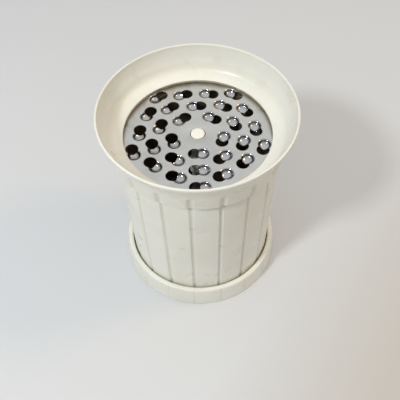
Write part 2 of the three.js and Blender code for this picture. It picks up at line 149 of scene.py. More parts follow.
def startMaterial(name):
    material = bpy.data.materials.new(name)
    material.use_nodes = True
    nodes = material.node_tree.nodes
    shader = nodes["Principled BSDF"]
    place = nodes.new("ShaderNodeTexCoord")
    return material, nodes, material.node_tree.links, shader, place.outputs["Object"]


def addNoise(nodes, links, place, scale, detail=3.0, roughness=0.5, stretch=(1, 1, 1)):
    mapping = nodes.new("ShaderNodeMapping")
    mapping.inputs["Scale"].default_value = stretch
    links.new(place, mapping.inputs["Vector"])
    noise = nodes.new("ShaderNodeTexNoise")
    noise.inputs["Scale"].default_value = scale
    noise.inputs["Detail"].default_value = detail
    noise.inputs["Roughness"].default_value = roughness
    links.new(mapping.outputs["Vector"], noise.inputs["Vector"])
    return noise.outputs["Fac"]


def addRamp(nodes, links, source, stops):
    ramp = nodes.new("ShaderNodeValToRGB")
    elements = ramp.color_ramp.elements
    while len(elements) < len(stops):
        elements.new(0.5)
    for element, (position, colour) in zip(elements, stops):
        element.position = position
        element.color = (*colour, 1) if len(colour) == 3 else colour
    links.new(source, ramp.inputs["Fac"])
    return ramp.outputs["Color"]


def addRange(nodes, links, source, low, high, fromLow=0.3, fromHigh=0.7):
    remap = nodes.new("ShaderNodeMapRange")
    remap.inputs["From Min"].default_value = fromLow
    remap.inputs["From Max"].default_value = fromHigh
    remap.inputs["To Min"].default_value = low
    remap.inputs["To Max"].default_value = high
    links.new(source, remap.inputs["Value"])
    return remap.outputs["Result"]


def addMix(nodes, links, factor, first, second, blend="MIX"):
    mix = nodes.new("ShaderNodeMix")
    mix.data_type = "RGBA"
    mix.blend_type = blend
    for value, socket in ((factor, "Factor"), (first, "A"), (second, "B")):
        target = [slot for slot in mix.inputs if slot.name == socket and slot.enabled][0]
        if isinstance(value, bpy.types.NodeSocket):
            links.new(value, target)
        else:
            target.default_value = value if isinstance(value, float) else (*value, 1)
    return [slot for slot in mix.outputs if slot.enabled][0]


def addBump(nodes, links, height, strength, distance, previous=None):
    bump = nodes.new("ShaderNodeBump")
    bump.inputs["Strength"].default_value = strength
    bump.inputs["Distance"].default_value = distance
    links.new(height, bump.inputs["Height"])
    if previous:
        links.new(previous, bump.inputs["Normal"])
    return bump.outputs["Normal"]


creamLook = {
    "colour": (0.93, 0.92, 0.85), "shade": (0.822, 0.79, 0.664), "mottle": 55.0,
    "tanBrown": (0.26, 0.19, 0.07), "tanPatches": 180.0, "streaks": 260.0, "streakStretch": (1, 1, 0.12),
    "tanSpread": 0.75, "streakLow": 0.35, "roughLow": 0.17, "roughHigh": 0.47, "wear": 110.0,
    "grain": 900.0, "grainStrength": 0.25, "grainDepth": 0.006 * mm,
    "wave": 70.0, "waveStrength": 0.35, "waveDepth": 0.03 * mm,
    "subsurface": 0.2, "scatter": 2.4 * mm, "scatterColour": (1.0, 0.75, 0.45),
}


def creamPlastic(name, tanShare=0.0):
    material, nodes, links, shader, place = startMaterial(name)
    mottle = addNoise(nodes, links, place, creamLook["mottle"], 1.5, 0.4)
    colour = addRamp(nodes, links, mottle, [(0.0, creamLook["shade"]), (1.0, creamLook["colour"])])
    grimeAndPaintedShade = nodes.new("ShaderNodeAttribute")
    grimeAndPaintedShade.attribute_name = "grimeAndPaintedShade"
    streaks = addNoise(nodes, links, place, creamLook["streaks"], 3.0, 0.6, creamLook["streakStretch"])
    grimeShare = nodes.new("ShaderNodeMath")
    grimeShare.operation = "MULTIPLY"
    links.new(grimeAndPaintedShade.outputs["Fac"], grimeShare.inputs[0])
    links.new(addRange(nodes, links, streaks, creamLook["streakLow"], 1.0), grimeShare.inputs[1])
    colour = addMix(nodes, links, grimeShare.outputs["Value"], colour, creamLook["tanBrown"])
    # tan-brown patches over the whole surface, used for the aperture's wall below the ledge
    if tanShare:
        patches = addNoise(nodes, links, place, creamLook["tanPatches"], 4.0, 0.6)
        share = addRange(nodes, links, patches, tanShare * creamLook["tanSpread"], tanShare)
        colour = addMix(nodes, links, share, colour, creamLook["tanBrown"])
    links.new(colour, shader.inputs["Base Color"])
    wear = addNoise(nodes, links, place, creamLook["wear"], 1.5, 0.4)
    roughness = addRange(nodes, links, wear, creamLook["roughLow"], creamLook["roughHigh"], 0.0, 1.0)
    links.new(roughness, shader.inputs["Roughness"])
    grain = addNoise(nodes, links, place, creamLook["grain"], 2.0, 0.5)
    wave = addNoise(nodes, links, place, creamLook["wave"], 1.0, 0.4)
    normal = addBump(nodes, links, wave, creamLook["waveStrength"], creamLook["waveDepth"])
    normal = addBump(nodes, links, grain, creamLook["grainStrength"], creamLook["grainDepth"], normal)
    links.new(normal, shader.inputs["Normal"])
    shader.inputs["Specular IOR Level"].default_value = 0.5
    shader.inputs["Subsurface Weight"].default_value = creamLook["subsurface"]
    shader.inputs["Subsurface Radius"].default_value = creamLook["scatterColour"]
    shader.inputs["Subsurface Scale"].default_value = creamLook["scatter"]
    return material


# finishes of steel: rolled plate, mirror-bright pressings and plated hardware

steelLooks = {
    "patches": 120.0, "patchDarkness": 0.88, "grain": 700.0, "grainStrength": 0.4,
    # near-black colour for the painted dark reflection and shade on the hoods' walls
    "paintedShadeColour": (0.03, 0.026, 0.02),
    "plateSteel": {"colour": (0.70, 0.705, 0.68), "roughLow": 0.34, "roughHigh": 0.46,
                   "stretch": (1, 0.06, 1), "depth": 0.004 * mm},
    # darker colour than the rolled plate's, though it is the same sheet: painted darker reflection inside
    # the pressed hoods
    "pressedSteel": {"colour": (0.60, 0.60, 0.61), "roughLow": 0.06, "roughHigh": 0.12,
                     "stretch": (1, 1, 1), "depth": 0.002 * mm},
    "platedSteel": {"colour": (0.68, 0.69, 0.70), "roughLow": 0.16, "roughHigh": 0.26,
                    "stretch": (1, 1, 0.3), "depth": 0.002 * mm},
}


def steelSheet(name):
    look = steelLooks[name]
    material, nodes, links, shader, place = startMaterial(name)
    patch = addNoise(nodes, links, place, steelLooks["patches"], 4.0, 0.6)
    dark = tuple(value * steelLooks["patchDarkness"] for value in look["colour"])
    tone = addRamp(nodes, links, patch, [(0.3, dark), (0.65, look["colour"])])
    # painted dark reflection and shade on the hoods' walls, mixed in from the attribute that the disc
    # carries
    grimeAndPaintedShade = nodes.new("ShaderNodeAttribute")
    grimeAndPaintedShade.attribute_name = "grimeAndPaintedShade"
    tone = addMix(nodes, links, grimeAndPaintedShade.outputs["Fac"], tone, steelLooks["paintedShadeColour"])
    links.new(tone, shader.inputs["Base Color"])
    grain = addNoise(nodes, links, place, steelLooks["grain"], 4.0, 0.65, look["stretch"])
    links.new(addRange(nodes, links, grain, look["roughLow"], look["roughHigh"]), shader.inputs["Roughness"])
    normal = addBump(nodes, links, grain, steelLooks["grainStrength"], look["depth"])
    links.new(normal, shader.inputs["Normal"])
    shader.inputs["Metallic"].default_value = 1.0
    return material


# plain mouldings and the dark card: colour, middle roughness and the grain's scale

plainLooks = {
    "mottle": 90.0, "mottleDarkness": 0.9, "roughSpread": 0.06,
    "grainStrength": 0.3, "grainDepth": 0.015 * mm,
    "acetal": {"colour": (0.86, 0.85, 0.80), "roughness": 0.42, "grain": 800.0},
    "silicone": {"colour": (0.52, 0.50, 0.45), "roughness": 0.6, "grain": 600.0},
    # dark brown for the chamber's inner parts: painted shade, standing in for the dark inside the chamber
    # seen through the cutters
    "paintedShadePlastic": {"colour": (0.13, 0.10, 0.06), "roughness": 0.4, "grain": 500.0},
    "cardPaper": {"colour": (0.012, 0.012, 0.013), "roughness": 0.8, "grain": 200.0},
}


def plainPlastic(name):
    look = plainLooks[name]
    material, nodes, links, shader, place = startMaterial(name)
    mottle = addNoise(nodes, links, place, plainLooks["mottle"], 3.0, 0.5)
    dark = tuple(value * plainLooks["mottleDarkness"] for value in look["colour"])
    tone = addRamp(nodes, links, mottle, [(0.3, dark), (0.7, look["colour"])])
    links.new(tone, shader.inputs["Base Color"])
    smoothest = look["roughness"] - plainLooks["roughSpread"]
    roughest = look["roughness"] + plainLooks["roughSpread"]
    links.new(addRange(nodes, links, mottle, smoothest, roughest), shader.inputs["Roughness"])
    grain = addNoise(nodes, links, place, look["grain"], 3.0, 0.6)
    normal = addBump(nodes, links, grain, plainLooks["grainStrength"], plainLooks["grainDepth"])
    links.new(normal, shader.inputs["Normal"])
    return material


cream = creamPlastic("creamPlastic")
tanWallCream = creamPlastic("tanWallCream", 0.9)
plateSteel = steelSheet("plateSteel")
pressedSteel = steelSheet("pressedSteel")
platedSteel = steelSheet("platedSteel")
acetal = plainPlastic("acetal")
silicone = plainPlastic("silicone")
paintedShadePlastic = plainPlastic("paintedShadePlastic")
print("materials ready")


# flutes: round grooves that run up the barrel, the bearing ring, the collar and the base cap

flutes = {"count": 18, "firstAngle": 4.2, "stepsEach": 22, "gather": 1.8, "slack": 0.05}
fluteSteps = flutes["count"] * flutes["stepsEach"]


def cutFlutes(bm, halfWidth, depth, wallInside, top=None, crown=0.0, grimeShare=0.25):
    # draws the rings' points together at each flute, then sinks the outer wall there
    bmesh.ops.rotate(bm, cent=(0, 0, 0), verts=bm.verts,
                     matrix=Matrix.Rotation(math.radians(flutes["firstAngle"]), 3, "Z"))
    grimeAndPaintedShade = bm.verts.layers.float.new("grimeAndPaintedShade")
    sector = fullTurn / flutes["count"]
    first = math.radians(flutes["firstAngle"])
    for vert in bm.verts:
        radius, angle = polar(vert)
        height = vert.co.z / mm
        turns = (angle - first) / sector
        nearest = round(turns)
        phase = 2 * (turns - nearest)
        phase = math.copysign(abs(phase) ** flutes["gather"], phase)
        angle = first + (nearest + phase / 2) * sector
        if radius > wallInside(height) - flutes["slack"]:
            across = phase / 2 * sector * radius
            above = max(0.0, height - top) if top is not None else 0.0
            share = min(1.0, math.hypot(across, above) / halfWidth)
            sink = math.sqrt(1 - share * share)
            radius += crown * (1 - phase * phase) - depth * sink
            vert[grimeAndPaintedShade] = grimeShare * sink
        setPolar(vert, radius, angle)


def insideWall(lowRadius, lowHeight, highRadius, highHeight, band):
    # radius at each height, a band's width inside the outer wall; what lies further out is the wall
    slope = (highRadius - lowRadius) / (highHeight - lowHeight)
    return lambda height: lowRadius + (height - lowHeight) * slope - band


# barrel

barrel = {
    "bottomWall": 2.5, "topWall": 2.1, "mouthDepth": 7.65, "flangeTop": 14.35, "flangeThickness": 2.0,
    "flangeHole": 22.0, "linerGap": 0.35, "fluteHalfWidth": 0.85, "fluteDepth": 0.6, "crown": 0.1,
    "wallBand": 0.4, "longestStep": 8.0,
}


def buildBarrel():
    bottom, top, radius = boxOf("barrel_shell")
    lowRadius = boxOf("chamber_liner")[2] + barrel["linerGap"] + barrel["bottomWall"]
    innerLow = lowRadius - barrel["bottomWall"]
    mouth = radius - barrel["topWall"]
    flangeTop = barrel["flangeTop"]
    flangeBottom = flangeTop - barrel["flangeThickness"]
    outline = rounded([
        (barrel["flangeHole"], flangeBottom, 0.3),
        (innerLow, flangeBottom, 0.4),
        (innerLow, bottom, 0.4),
        (lowRadius, bottom, 0.4),
        (radius, top, 0.35),
        (mouth, top, 0.3),
        (mouth, top - barrel["mouthDepth"], 0),
        (innerLow, flangeTop, 0.4),
        (barrel["flangeHole"], flangeTop, 0.3),
    ], 3)
    bm = spun(divided(outline, barrel["longestStep"], bottom + 1, top - 1), fluteSteps)
    inside = insideWall(lowRadius, bottom, radius, top, barrel["wallBand"])
    cutFlutes(bm, barrel["fluteHalfWidth"], barrel["fluteDepth"], inside, crown=barrel["crown"])
    addPiece(bm, "barrelShell", "barrel", ["barrel_shell"], [cream])


buildBarrel()
print("barrel shell built")


# base cap: round-topped lip, recessed underside and a hub with a six-sided socket

cap = {
    "lipWall": 2.8, "lean": 1.2, "lipRound": 1.2, "footRound": 0.6, "footWidth": 3.5, "recess": 1.0,
    "floorTop": 3.0, "hubRadius": 8.0, "hubTop": 9.1, "headSeat": 3.7, "plugBore": 4.35, "screwBore": 1.75,
    "socketBottom": 5.1, "socketAcross": 7.1, "lineHalfWidth": 0.5, "lineDepth": 0.14, "lineGrime": 0.12,
    "wallBand": 0.3, "longestStep": 2.0,
}


def buildCap():
    bottom, top, footRadius = boxOf("base_cap")
    lipRadius = footRadius - cap["lean"]
    lipInner = lipRadius - cap["lipWall"]
    footInner = footRadius - cap["footWidth"]
    socketCorner = cap["socketAcross"] / math.sqrt(3)
    outline = rounded([
        (cap["screwBore"], cap["headSeat"], 0),
        (cap["plugBore"], cap["headSeat"], 0),
        (cap["plugBore"], cap["recess"], 0.2),
        (footInner, cap["recess"], 0.3),
        (footInner + cap["recess"] / 2, bottom, 0.3),
        (footRadius, bottom, cap["footRound"]),
        (lipRadius, top, cap["lipRound"]),
        (lipInner, top, cap["lipRound"]),
        (lipInner, cap["floorTop"], 1.5),
        (cap["hubRadius"], cap["floorTop"], 0.5),
        (cap["hubRadius"], cap["hubTop"], 0.4),
        (socketCorner, cap["hubTop"], 0),
        (socketCorner, cap["socketBottom"], 0),
        (cap["screwBore"], cap["socketBottom"], 0),
    ])
    bm = spun(divided(outline, cap["longestStep"], bottom + 1, top - 1), fluteSteps)
    inside = insideWall(footRadius, bottom, lipRadius, top, cap["wallBand"])
    cutFlutes(bm, cap["lineHalfWidth"], cap["lineDepth"], inside, grimeShare=cap["lineGrime"])
    for vert in bm.verts:
        radius, angle = polar(vert)
        if abs(radius - socketCorner) < 0.01:
            setPolar(vert, sixSided(cap["socketAcross"], angle), angle)
    addPiece(bm, "baseCap", "feed", ["base_cap"], [cream])


buildCap()
print("base cap built")


# outlet collar: flared rim, bowl-shaped inside and a fluted band

collar = {
    "rimRound": 0.55, "bandHeight": 9.1, "bandTaper": 0.95, "lowWall": 1.4,
    "apertureRadius": 34.1, "apertureHeight": 1.9, "hangerDepth": 1.0, "seatRadius": 36.25,
    "ringGap": 0.65, "discGap": 0.35, "tanDrop": 0.2,
    "fluteHalfWidth": 1.25, "fluteDepth": 0.6, "fluteTop": 8.2, "wallBand": 0.45, "longestStep": 0.8,
    # (inwards, down) from the rim's outer top edge
    "rimFoot": (0.1, 1.4), "wallTop": (1.25, 0.9),
    # (radius, height above the aperture's edge)
    "ledge": (38.0, 1.25), "wallFoot": (41.0, 5.6),
    # (outwards, up) from a curve's start to the point that bends it
    "flareBend": (0.9, 4.6), "wallBend": (-1.0, -5.0),
    # (outwards from the wall's foot, up from the aperture's edge) to the bowl's bending point
    "bowlBend": (-0.9, 2.1),
}


def bezierPoints(start, control, end, steps):
    # quadratic curve between two outline points, ends left out
    points = []
    for step in range(1, steps):
        share = step / steps
        radius = (1 - share) ** 2 * start[0] + 2 * share * (1 - share) * control[0] + share ** 2 * end[0]
        height = (1 - share) ** 2 * start[1] + 2 * share * (1 - share) * control[1] + share ** 2 * end[1]
        points.append((radius, height, 0))
    return points


def buildCollar():
    bottom, top, radius = boxOf("outlet_collar")
    ringRadius = boxOf("bearing_ring")[2]
    bandInner = ringRadius + collar["ringGap"]
    bandRadius = bandInner + collar["lowWall"]
    bandTop = (bandRadius + collar["bandTaper"], bottom + collar["bandHeight"])
    rimFoot = (radius - collar["rimFoot"][0], top - collar["rimFoot"][1])
    discTop = boxOf("grating_disc")[1]
    edge = discTop + collar["apertureHeight"]
    aperture = collar["apertureRadius"]
    ledgeOut = (collar["ledge"][0], edge + collar["ledge"][1])
    wallFoot = (collar["wallFoot"][0], edge + collar["wallFoot"][1])
    wallTop = (radius - collar["wallTop"][0], top - collar["wallTop"][1])
    flareBend = (bandTop[0] + collar["flareBend"][0], bandTop[1] + collar["flareBend"][1])
    wallBend = (wallTop[0] + collar["wallBend"][0], wallTop[1] + collar["wallBend"][1])
    bowlBend = (wallFoot[0] + collar["bowlBend"][0], edge + collar["bowlBend"][1])
    seatTop = discTop + collar["discGap"]
    underside = edge - collar["hangerDepth"]
    corners = [
        (bandInner, bottom, 0.3),
        (bandRadius, bottom, 0.45),
        (bandTop[0], bandTop[1], 0),
        *bezierPoints(bandTop, flareBend, rimFoot, 10),
        (*rimFoot, 0),
        (radius, top, collar["rimRound"]),
        (wallTop[0] + 0.02, top, collar["rimRound"]),
        (*wallTop, 0),
        *bezierPoints(wallTop, wallBend, wallFoot, 6),
        (*wallFoot, 0),
        *bezierPoints(wallFoot, bowlBend, ledgeOut, 8),
        (*ledgeOut, 0),
        (aperture, edge, 0.5),
        (aperture + 0.1, seatTop, 0.2),
        (collar["seatRadius"], seatTop, 0.2),
        (collar["seatRadius"], underside, 0),
        (bandInner, underside, 0.3),
    ]
    outline = divided(rounded(corners), collar["longestStep"], bottom + 1, bottom + collar["bandHeight"])
    bm = spun(outline, fluteSteps)
    inside = insideWall(bandRadius, bottom, *bandTop, collar["wallBand"])
    fluteTop = bottom + collar["fluteTop"] - collar["fluteHalfWidth"]
    cutFlutes(bm, collar["fluteHalfWidth"], collar["fluteDepth"], inside, top=fluteTop)
    for face in bm.faces:
        middle = face.calc_center_median()
        inWall = math.hypot(middle.x, middle.y) < (aperture + 0.3) * mm
        # the aperture's wall below the ledge takes the tan-brown cream
        face.material_index = int(inWall and middle.z < (edge - collar["tanDrop"]) * mm)
    addPiece(bm, "outletCollar", "head", ["outlet_collar"], [cream, tanWallCream])


buildCollar()
print("collar built")


# bearing ring: screws into the barrel and carries the collar on its outside

bearing = {
    "spigotInner": 34.95, "spigotWall": 0.8, "spigotLength": 7.3, "web": 1.3, "wall": 1.6, "shoulder": 2.3,
    "grooveDepth": 0.8, "grooveHeight": 1.2, "grooveDrop": 1.4, "wallBand": 0.15, "longestStep": 0.4,
}


def buildBearingRing():
    bottom, top, radius = boxOf("bearing_ring")
    ringBottom = bottom + bearing["spigotLength"]
    webTop = ringBottom + bearing["web"]
    spigotInner = bearing["spigotInner"]
    spigotRadius = spigotInner + bearing["spigotWall"]
    inner = radius - bearing["wall"]
    grooveTop = top - bearing["grooveDrop"]
    grooveBottom = grooveTop - bearing["grooveHeight"]
    grooveRadius = radius - bearing["grooveDepth"]
    outline = rounded([
        (spigotInner, bottom, 0.1),
        (spigotRadius, bottom, 0.2),
        (spigotRadius, ringBottom, 0.1),
        (radius, ringBottom, 0.25),
        (radius, grooveBottom, 0.08),
        (grooveRadius, grooveBottom, 0),
        (grooveRadius, grooveTop, 0),
        (radius, grooveTop, 0.08),
        (radius, top, 0.2),
        (inner, top, 0.2),
        (inner, webTop, 0.3),
        (spigotInner, webTop, 0.2),
    ], 3)
    shoulderTop = ringBottom + bearing["shoulder"]
    bm = spun(divided(outline, bearing["longestStep"], ringBottom + 0.3, shoulderTop + 0.5), fluteSteps)
    inside = insideWall(radius, bottom, radius, top, bearing["wallBand"])
    halfWidth = barrel["fluteHalfWidth"]
    cutFlutes(bm, halfWidth, barrel["fluteDepth"], inside, top=shoulderTop - halfWidth)
    addPiece(bm, "bearingRing", "head_ring", ["bearing_ring"], [cream])


buildBearingRing()
print("bearing ring built")


# feed screw: hexagonal foot, journal, grooves, rod and a round thread

screw = {
    "bore": 1.75, "footAcross": 6.4, "footTop": 9.1, "boreTop": 11.45, "journal": 4.3, "sealGroove": 2.95,
    "sealLow": 13.525, "sealHigh": 14.975, "clipGroove": 2.6, "clipLow": 17.875, "clipHigh": 19.025,
    "pin": 3.25, "pinRound": 0.45, "steps": 72,
    "threadLow": 21.1, "threadHigh": 84.4, "threadRadius": 0.95, "threadSides": 14, "pitch": 8.0,
    "stepsEachTurn": 36,
}


def buildFeedScrew():
    bottom, top = boxOf("feed_screw")[:2]
    footCorner = screw["footAcross"] / math.sqrt(3)
    journal = screw["journal"]
    rod = rounded([
        (0, screw["boreTop"], 0),
        (screw["bore"], screw["boreTop"], 0),
        (screw["bore"], bottom, 0),
        (footCorner, bottom, 0.2),
        (footCorner, screw["footTop"], 0),
        (journal, screw["footTop"], 0.2),
        (journal, screw["sealLow"], 0.1),
        (screw["sealGroove"], screw["sealLow"], 0),
        (screw["sealGroove"], screw["sealHigh"], 0),
        (journal, screw["sealHigh"], 0.1),
        (journal, screw["clipLow"], 0.2),
        (screw["clipGroove"], screw["clipLow"], 0),
        (screw["clipGroove"], screw["clipHigh"], 0),
        (screw["pin"], screw["clipHigh"], 0.1),
        (screw["pin"], top, screw["pinRound"]),
        (0, top, 0),
    ])
    bm = spun(rod, screw["steps"], closed=False)
    for vert in bm.verts:
        radius, angle = polar(vert)
        if radius > screw["footAcross"] / 2 and vert.co.z < (screw["footTop"] - 0.01) * mm:
            setPolar(vert, sixSided(screw["footAcross"], angle) * radius / footCorner, angle)
    circle = bmesh.ops.create_circle(bm, segments=screw["threadSides"],
                                     radius=screw["threadRadius"] * mm)["verts"]
    bmesh.ops.rotate(bm, cent=(0, 0, 0), matrix=Matrix.Rotation(math.pi / 2, 3, "X"), verts=circle)
    bmesh.ops.translate(bm, vec=(screw["pin"] * mm, 0, screw["threadLow"] * mm), verts=circle)
    turns = (screw["threadHigh"] - screw["threadLow"]) / screw["pitch"]
    steps = round(turns * screw["stepsEachTurn"])
    rise = (screw["threadHigh"] - screw["threadLow"]) / steps * mm
    hoop = circle + list({edge for vert in circle for edge in vert.link_edges})
    bmesh.ops.spin(bm, geom=hoop, cent=(0, 0, 0), axis=(0, 0, 1), dvec=(0, 0, rise),
                   angle=fullTurn * turns, steps=steps)
    bmesh.ops.holes_fill(bm, edges=[edge for edge in bm.edges if edge.is_boundary], sides=0)
    addPiece(bm, "feedScrew", "feed", ["feed_screw"], [cream])


buildFeedScrew()
print("feed screw built")


# small turned parts

turning = {"edgeShare": 0.25, "edgeSteps": 3, "wideRadius": 20, "wideSteps": 180, "narrowSteps": 64}
# (CAD node, body, slot, finish, inner radius)
turnedParts = {
    "thrustWasher": ("thrust_washer", "feed", "bearing_plastic", acetal, 4.65),
    "glideWasher": ("glide_washer", "head_ring", "bearing_plastic", acetal, 36.95),
    "screwPlug": ("screw_plug", "feed", "cream_plastic", cream, 0.0),
}


def buildTurnedPart(name, node, body, slot, finish, inner):
    bottom, top, radius = boxOf(node)
    edge = (top - bottom) * turning["edgeShare"]
    innerEdge = edge if inner else 0
    corners = [(inner, bottom, innerEdge), (radius, bottom, edge),
               (radius, top, edge), (inner, top, innerEdge)]
    steps = turning["wideSteps"] if radius > turning["wideRadius"] else turning["narrowSteps"]
    bm = spun(rounded(corners, turning["edgeSteps"]), steps, closed=inner > 0)
    addPiece(bm, name, body, [node], [finish])


for partName, part in turnedParts.items():
    buildTurnedPart(partName, *part)
print("small turned parts built")


# grating disc: one steel sheet with hoods pressed inwards, each above its own slot

disc = {
    "sides": 5, "rings": 3, "firstAngle": -17.0, "innerCorner": 12.0, "outerCorner": 30.9, "edgeBow": 1.04,
    "thickness": 0.5, "centreHole": 3.6, "holeSteps": 64, "rimSteps": 360, "notchAngle": 24.5,
    "notchHalfWidth": 1.65, "notchRadius": 34.4, "edgeBevel": 0.07, "bevelAngle": 60, "sharpAngle": 50,
    "pressedBelow": 0.02,
}
cutter = {
    "hoodRadius": 2.8, "hoodCentre": 1.7, "slotRadius": 2.95, "slotCentre": -1.95, "around": 44,
    "blend": 0.5, "shoulderFrom": -0.6, "shoulderTo": 0.2,
    # (millimetres outside the cutter's edge, depth there)
    "wall": ((1.0, 0.0), (0.7, 0.01), (0.42, 0.06), (0.18, 0.19), (0.0, 0.36), (-0.22, 0.64), (-0.45, 0.92),
             (-0.75, 1.2), (-1.15, 1.45)),
    # (share of the wall's innermost ring, depth there)
    "bowl": ((0.66, 1.7), (0.33, 1.9)), "depth": 2.0, "slotMargin": 0.35,
    # painted dark reflection and shade on each ring, from the outermost inwards, and the share of it left on
    # the slot's side
    "grimeAndPaintedShade": (0.0, 0.0, 0.05, 0.3, 0.8, 0.85, 0.7, 0.4, 0.15, 0.0, 0.0),
    "slotPaintedShade": 0.35,
}


def cutterPlaces():
    places = []
    spread = disc["outerCorner"] - disc["innerCorner"]
    for steps in range(1, disc["rings"] + 1):
        corner = disc["innerCorner"] + spread * (steps - 1) / (disc["rings"] - 1)
        for side in range(disc["sides"]):
            angles = [disc["firstAngle"] + (side + end) * 360 / disc["sides"] for end in (0, 1)]
            start, end = [Vector((math.cos(math.radians(a)), math.sin(math.radians(a)))) for a in angles]
            for step in range(steps):
                bow = disc["edgeBow"] if step else 1.0
                places.append(start.lerp(end, step / steps) * corner * bow)
    return places


def cutterEdge(direction):
    # distance from the mouth's middle to the cutter's outline, which is two overlapping circles
    overHood = math.cos(direction) > 0
    centre = cutter["hoodCentre" if overHood else "slotCentre"]
    radius = cutter["hoodRadius" if overHood else "slotRadius"]
    return centre * math.cos(direction) + math.sqrt(radius ** 2 - (centre * math.sin(direction)) ** 2)


def cutterReach(direction, outward):
    # the pressing's soft shoulder is narrower round the slot than round the hood
    overHood = smoothStep(math.cos(direction), cutter["shoulderFrom"], cutter["shoulderTo"])
    margin = cutter["slotMargin"] + (1 - cutter["slotMargin"]) * overHood
    return cutterEdge(direction) + (outward * margin if outward > 0 else outward)


def cutterPatch():
    bm = bmesh.new()
    bmesh.ops.create_circle(bm, segments=cutter["around"], radius=1.0)
    grimeAndPaintedShade = bm.verts.layers.float.new("grimeAndPaintedShade")
    innermost = cutter["wall"][-1][0]
    loops = [(outward, 1.0, deep) for outward, deep in cutter["wall"]]
    loops += [(innermost, share, deep) for share, deep in cutter["bowl"]]
    ringVerts = bm.verts[:]
    edges = bm.edges[:]
    for index, (outward, share, deep) in enumerate(loops):
        if index:
            made = bmesh.ops.extrude_edge_only(bm, edges=edges)["geom"]
            ringVerts = [item for item in made if isinstance(item, bmesh.types.BMVert)]
            edges = [edge for edge in bm.edges if all(vert in ringVerts for vert in edge.verts)]
        for vert in ringVerts:
            spoke = math.atan2(vert.co.y, vert.co.x)
            reach = cutterReach(spoke, outward) * share
            along = reach * math.cos(spoke)
            drawn = smoothStep(along, -cutter["blend"], 0.0) if abs(along) > 1e-4 else 1.0
            across = reach * math.sin(spoke)
            vert.co = Vector((along, across, -deep * drawn)) * mm
            # painted dark reflection and shade, ring by ring, with less of it on the slot's side
            paintedShadeShare = cutter["slotPaintedShade"] + (1 - cutter["slotPaintedShade"]) * drawn
            vert[grimeAndPaintedShade] = cutter["grimeAndPaintedShade"][index] * paintedShadeShare
    bottomFace = bmesh.ops.edgeloop_fill(bm, edges=edges)["faces"]
    middle = bmesh.ops.poke(bm, faces=bottomFace)["verts"][0]
    middle.co = Vector((0, 0, -cutter["depth"])) * mm
    bm.faces.ensure_lookup_table()
    shoulderRings = sum(outward >= 0 for outward, deep in cutter["wall"]) - 1
    inside = bm.faces[cutter["around"] * shoulderRings:]
    opened = [face for face in inside if face.calc_center_median().x < 0]
    bmesh.ops.delete(bm, geom=opened, context="FACES")
    mesh = bpy.data.meshes.new("cutterPatch")
    bm.to_mesh(mesh)
    bm.free()
    return mesh


def buildDisc():
    discTop, rimRadius = boxOf("grating_disc")[1:]
    notchStep = 360 / disc["sides"]
    bm = bmesh.new()
    patch = cutterPatch()
    loops = []
    for place in cutterPlaces():
        known = len(bm.verts)
        bm.from_mesh(patch)
        bm.verts.ensure_lookup_table()
        added = bm.verts[known:]
        outer = added[:cutter["around"]]
        loops += {edge for vert in outer for edge in vert.link_edges if edge.is_boundary}
        turn = Matrix.Rotation(math.atan2(place.y, place.x) + math.pi / 2, 4, "Z")
        shift = Matrix.Translation((place.x * mm, place.y * mm, 0))
        bmesh.ops.transform(bm, matrix=shift @ turn, verts=added)
    bpy.data.meshes.remove(patch)
    rim = bmesh.ops.create_circle(bm, segments=disc["rimSteps"], radius=rimRadius * mm)["verts"]
    hole = bmesh.ops.create_circle(bm, segments=disc["holeSteps"], radius=disc["centreHole"] * mm)["verts"]
    for vert in rim:
        radius, angle = polar(vert)
        away = (math.degrees(angle) - disc["notchAngle"] + notchStep / 2) % notchStep - notchStep / 2
        if abs(math.radians(away)) * radius < disc["notchHalfWidth"]:
            setPolar(vert, disc["notchRadius"], angle)
    loops += list({edge for vert in rim + hole for edge in vert.link_edges})
    bmesh.ops.triangle_fill(bm, edges=loops, use_beauty=True, use_dissolve=False, normal=(0, 0, 1))
    for face in bm.faces:
        if face.normal.z < 0:
            face.normal_flip()
        face.material_index = int(face.calc_center_median().z < -disc["pressedBelow"] * mm)
    bmesh.ops.translate(bm, vec=(0, 0, discTop * mm), verts=bm.verts)
    piece = addPiece(bm, "gratingDisc", "head", ["grating_disc"],
                     [plateSteel, pressedSteel], sharp=disc["sharpAngle"], outward=False)
    sheet = piece.modifiers.new("sheetThickness", "SOLIDIFY")
    sheet.thickness = disc["thickness"] * mm
    sheet.offset = -1.0
    edgeRound = piece.modifiers.new("cutEdges", "BEVEL")
    edgeRound.width = disc["edgeBevel"] * mm
    edgeRound.segments = 2
    edgeRound.limit_method = "ANGLE"
    edgeRound.angle_limit = math.radians(disc["bevelAngle"])


buildDisc()
print("disc built")


# camera, lights and floor

cameraSet = {
    "place": (0, -0.17214, 0.27493), "lens": 49.2, "sensor": 36, "nearest": 0.01,
    "down": 53.94, "aside": 0.08, "roll": -1.53,
}
lightSet = {
    "keyPlace": (-0.375, -0.338, 0.63), "keySize": 0.1, "keyPower": 2.4, "keyColour": (0.92, 0.965, 1.0),
    "lampPlace": (0.47, 0.07, 0.62), "lampSize": 0.2, "lampPower": 0.85, "lampColour": (1.0, 0.68, 0.36),
    "aim": (0, 0, 0.06), "cardPlace": (0.0, -0.45, 0.28), "cardWidth": 0.6, "cardHeight": 0.24,
    "zenith": (0.97, 0.985, 1.0), "horizon": (0.10, 0.10, 0.10), "skyStrength": 0.77,
    "floor": (0.71, 0.717, 0.717), "floorMottle": 0.985, "floorRadius": 3.0,
    # painted shade on the floor: its colour falls off along one direction, between two distances
    "floorPaintedShade": (0.84, 0.79, 0.72), "paintedShadeTowards": (0.8, -0.6, 0), "paintedShadeFrom": 0.055, "paintedShadeTo": 0.125,
}


